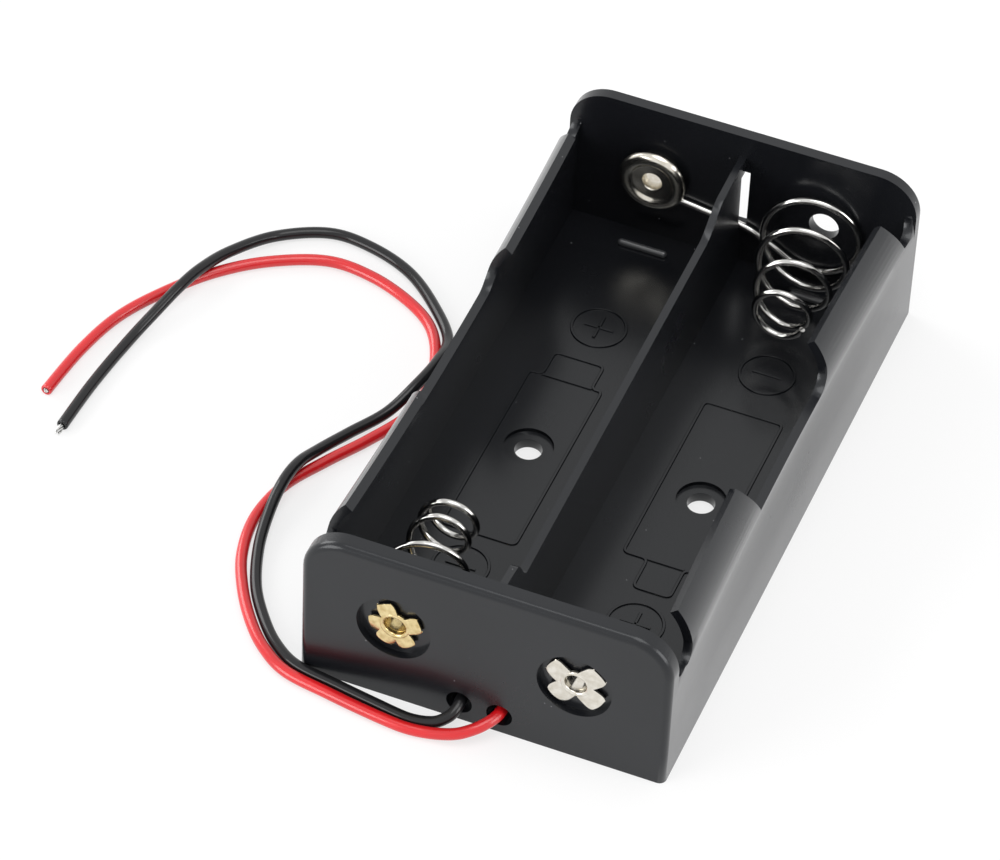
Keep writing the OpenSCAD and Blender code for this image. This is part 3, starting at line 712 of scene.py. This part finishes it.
def dust_group():
    """Specks = 1 near the middle of some cells of a Voronoi pattern, chosen by each cell's own
    random value."""
    tree, gin, gout = group("dust_specks", [("Scale", 900.0), ("Size", 0.12), ("Share", 0.1)],
                            [("Specks", "NodeSocketFloat")])
    where = node(tree, "ShaderNodeTexCoord").outputs["Object"]
    cells = node(tree, "ShaderNodeTexVoronoi", Vector=where, Scale=gin.outputs["Scale"])
    chance = node(tree, "ShaderNodeSeparateColor", Color=cells.outputs["Color"])
    near = node(tree, "ShaderNodeMath", {"operation": "LESS_THAN"}, i0=cells.outputs["Distance"],
                i1=gin.outputs["Size"])
    few = node(tree, "ShaderNodeMath", {"operation": "LESS_THAN"}, i0=chance.outputs[0],
               i1=gin.outputs["Share"])
    hit = node(tree, "ShaderNodeMath", {"operation": "MULTIPLY"}, i0=near.outputs[0], i1=few.outputs[0])
    tree.links.new(hit.outputs[0], gout.inputs["Specks"])
    return tree


UNEVEN, GRAIN, DUST = uneven_group(), grain_group(), dust_group()
print("effects:", [g.name for g in (UNEVEN, GRAIN, DUST)])

# %% [markdown]
# Every finish is one Principled shader. Plain numbers such as its coat are set on the shader
# itself. Only colour, roughness and relief change over the surface. The base colour runs between
# two close colours in slow patches, and the groups give the rest.

# %% A finish
DUST_COLOUR = (0.22, 0.22, 0.23, 1)


def finish(name, colours, metallic, roughness, swing, uneven_scale, grain_scale, grain_depth,
           patch_scale, dust=None, **plain):
    """One material. dust is (scale, size, share), and plain holds constants of the shader by name."""
    material = bpy.data.materials.new(name)
    material.use_nodes = True
    tree = material.node_tree
    shader = tree.nodes["Principled BSDF"]
    shader.inputs["Metallic"].default_value = metallic
    for label, value in plain.items():
        shader.inputs[label.replace("_", " ")].default_value = value
    where = node(tree, "ShaderNodeTexCoord").outputs["Object"]
    patches = node(tree, "ShaderNodeTexNoise", Vector=where, Scale=patch_scale, Detail=4.0)
    spread = node(tree, "ShaderNodeValToRGB", Fac=patches.outputs[0])
    for element, position, colour in zip(spread.color_ramp.elements, (0.35, 0.65), colours):
        element.position, element.color = position, (*colour, 1)
    shine = node(tree, "ShaderNodeGroup", {"node_tree": UNEVEN}, Middle=roughness, Swing=swing,
                 Scale=uneven_scale)
    relief = node(tree, "ShaderNodeGroup", {"node_tree": GRAIN}, Scale=grain_scale)
    bump = node(tree, "ShaderNodeBump", Strength=1.0, Distance=grain_depth,
                Height=relief.outputs["Height"])
    base = spread.outputs["Color"]
    if dust:
        scale, size, share = dust
        specks = node(tree, "ShaderNodeGroup", {"node_tree": DUST}, Scale=scale, Size=size,
                      Share=share)
        mixed = node(tree, "ShaderNodeMix", {"data_type": "RGBA"}, i0=specks.outputs["Specks"],
                     i6=base, i7=DUST_COLOUR)
        base = mixed.outputs[2]
    tree.links.new(base, shader.inputs["Base Color"])
    tree.links.new(shine.outputs["Roughness"], shader.inputs["Roughness"])
    tree.links.new(bump.outputs["Normal"], shader.inputs["Normal"])
    return material


plastic = finish("black_abs", ((0.0064, 0.0070, 0.0088), (0.0086, 0.0093, 0.0114)), 0, 0.25, 0.12, 90,
                 5200, 0.000006, 70, dust=(1300, 0.09, 0.05), Coat_Weight=0.5, Coat_Roughness=0.22,
                 Specular_IOR_Level=0.19, Specular_Tint=(0.92, 0.97, 1.0, 1))
# The bars' finish is glossier, and its base colour is about eight times lighter than the case's. That
# lighter colour is a painted highlight, not a colour of the plastic.
highlight_painted_abs = finish("glossy_abs_painted_highlight", ((0.060, 0.062, 0.066), (0.070, 0.072, 0.076)), 0, 0.24, 0.08, 300,
                  5200, 0.000003, 200, Specular_IOR_Level=0.8)
wire = finish("bright_wire", ((0.66, 0.65, 0.63), (0.54, 0.53, 0.51)), 1, 0.12, 0.10, 600,
              9000, 0.000002, 900)
brass = finish("pale_brass", ((0.80, 0.66, 0.36), (0.62, 0.47, 0.22)), 1, 0.24, 0.18, 900,
               6000, 0.000004, 1500)
nickel = finish("warm_nickel", ((0.78, 0.75, 0.68), (0.64, 0.60, 0.52)), 1, 0.20, 0.15, 900,
                6000, 0.000003, 1100)
tinned = finish("tinned", ((0.72, 0.72, 0.71), (0.58, 0.58, 0.57)), 1, 0.28, 0.14, 1200,
                7000, 0.000004, 1600)
red_pvc = finish("red_pvc", ((0.68, 0.008, 0.012), (0.60, 0.006, 0.010)), 0, 0.30, 0.10, 300,
                 2600, 0.000004, 160, Coat_Weight=0.5, Coat_Roughness=0.10)
black_pvc = finish("black_pvc", ((0.006, 0.006, 0.007), (0.009, 0.009, 0.010)), 0, 0.34, 0.10, 300,
                   2600, 0.000004, 160, Coat_Weight=0.5, Coat_Roughness=0.09, Specular_IOR_Level=0.15)
print("finishes:", [m.name for m in (plastic, highlight_painted_abs, wire, brass, nickel, tinned, red_pvc, black_pvc)])

# %% Every piece gets its finish
by_slot = {"black_plastic": plastic, "spring_wire": wire, "brass": brass, "nickel": nickel,
           "tinned_metal": tinned, "red_insulation": red_pvc, "black_insulation": black_pvc}
node_slot = {row["node"]: row["material_slot"] for row in frame["record"]["subparts"]}
for name, piece in frame["nodes"].items():
    piece.data.materials.clear()
    piece.data.materials.append(by_slot[node_slot[name]])
# The bars take the glossier finish whose lighter colour is a painted highlight.
for piece in [o for o in scene.objects if o.type == "MESH" and "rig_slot" in o]:
    piece.data.materials.clear()
    piece.data.materials.append(highlight_painted_abs if piece in bars else by_slot[piece["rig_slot"]])

# %% [markdown]
# ## Light
# A white floor, a pale surround and four soft lamps: one at each side, one above and one in front
# to the left. Black plastic shows little colour of its own, and its look is mostly what it mirrors.
# So reflections see the floor and the surround as white, as the camera does, while both only
# light the object at a plain level. The floor still takes the soft shadow.

# %% Floor, surround and lamps
def seen_directly(tree):
    """1 where the camera sees the surface, itself or in metal or through glass, and 0 where it
    only lights others."""
    path = tree.nodes.new("ShaderNodeLightPath").outputs
    mirrored = node(tree, "ShaderNodeMath", {"operation": "ADD"}, i0=path["Is Camera Ray"],
                    i1=path["Is Glossy Ray"])
    return node(tree, "ShaderNodeMath", {"operation": "ADD", "use_clamp": True}, i0=mirrored.outputs[0],
                i1=path["Is Transmission Ray"]).outputs[0]


FLOOR_HALF, FLOOR_Z = 3, -0.00003
PLAIN_LEVEL, WHITE = 0.6, 1.0
floor_mesh = bpy.data.meshes.new("floor")
floor_corners = [(x * FLOOR_HALF, y * FLOOR_HALF, FLOOR_Z)
                 for x, y in ((-1, -1), (1, -1), (1, 1), (-1, 1))]
floor_mesh.from_pydata(floor_corners, [], [(0, 1, 2, 3)])
floor = bpy.data.objects.new("floor", floor_mesh)
scene.collection.objects.link(floor)
paper = bpy.data.materials.new("white_paper")
paper.use_nodes = True
tree = paper.node_tree
sheet = tree.nodes["Principled BSDF"]
sheet.inputs["Base Color"].default_value = (0.92, 0.92, 0.92, 1)
sheet.inputs["Roughness"].default_value = 0.9
sheet.inputs["Specular IOR Level"].default_value = 0.0
share = node(tree, "ShaderNodeMath", {"operation": "MULTIPLY"}, i0=seen_directly(tree), i1=0.68)
glow = node(tree, "ShaderNodeEmission", Strength=WHITE)
both = node(tree, "ShaderNodeMixShader", i0=share.outputs[0], i1=sheet.outputs[0], i2=glow.outputs[0])
tree.links.new(both.outputs[0], tree.nodes["Material Output"].inputs["Surface"])
floor_mesh.materials.append(paper)

world = bpy.data.worlds.new("surround")
scene.world = world
world.use_nodes = True
world.node_tree.nodes["Background"].inputs["Color"].default_value = (1, 1, 1, 1)
level = node(world.node_tree, "ShaderNodeMath", {"operation": "MULTIPLY_ADD"},
             i0=seen_directly(world.node_tree), i1=WHITE - PLAIN_LEVEL, i2=PLAIN_LEVEL)
world.node_tree.links.new(level.outputs[0], world.node_tree.nodes["Background"].inputs["Strength"])


TARGET = (0, 0, 0.01)


def lamp(name, place, size, power):
    """A square soft lamp whose face is turned to TARGET."""
    data = bpy.data.lights.new(name, "AREA")
    data.shape, data.size, data.energy = "SQUARE", size, power
    made = bpy.data.objects.new(name, data)
    scene.collection.objects.link(made)
    away = np.array(place, float) - TARGET
    away /= np.linalg.norm(away)
    side = np.cross([0, 0, 1.0], away)
    side /= np.linalg.norm(side)
    matrix = np.eye(4)
    matrix[:3, :4] = np.column_stack([side, np.cross(away, side), away, place])
    made.matrix_world = Matrix(matrix)


lamp("right_softbox", (0.85, -0.05, 0.35), 0.6, 4.0)
lamp("left_softbox", (-0.80, 0.25, 0.45), 0.5, 3.0)
lamp("top_softbox", (0.10, -0.10, 0.95), 0.6, 3.0)
lamp("front_fill", (-0.68, -0.74, 0.35), 0.6, 5.0)
scene.view_settings.view_transform = "Standard"
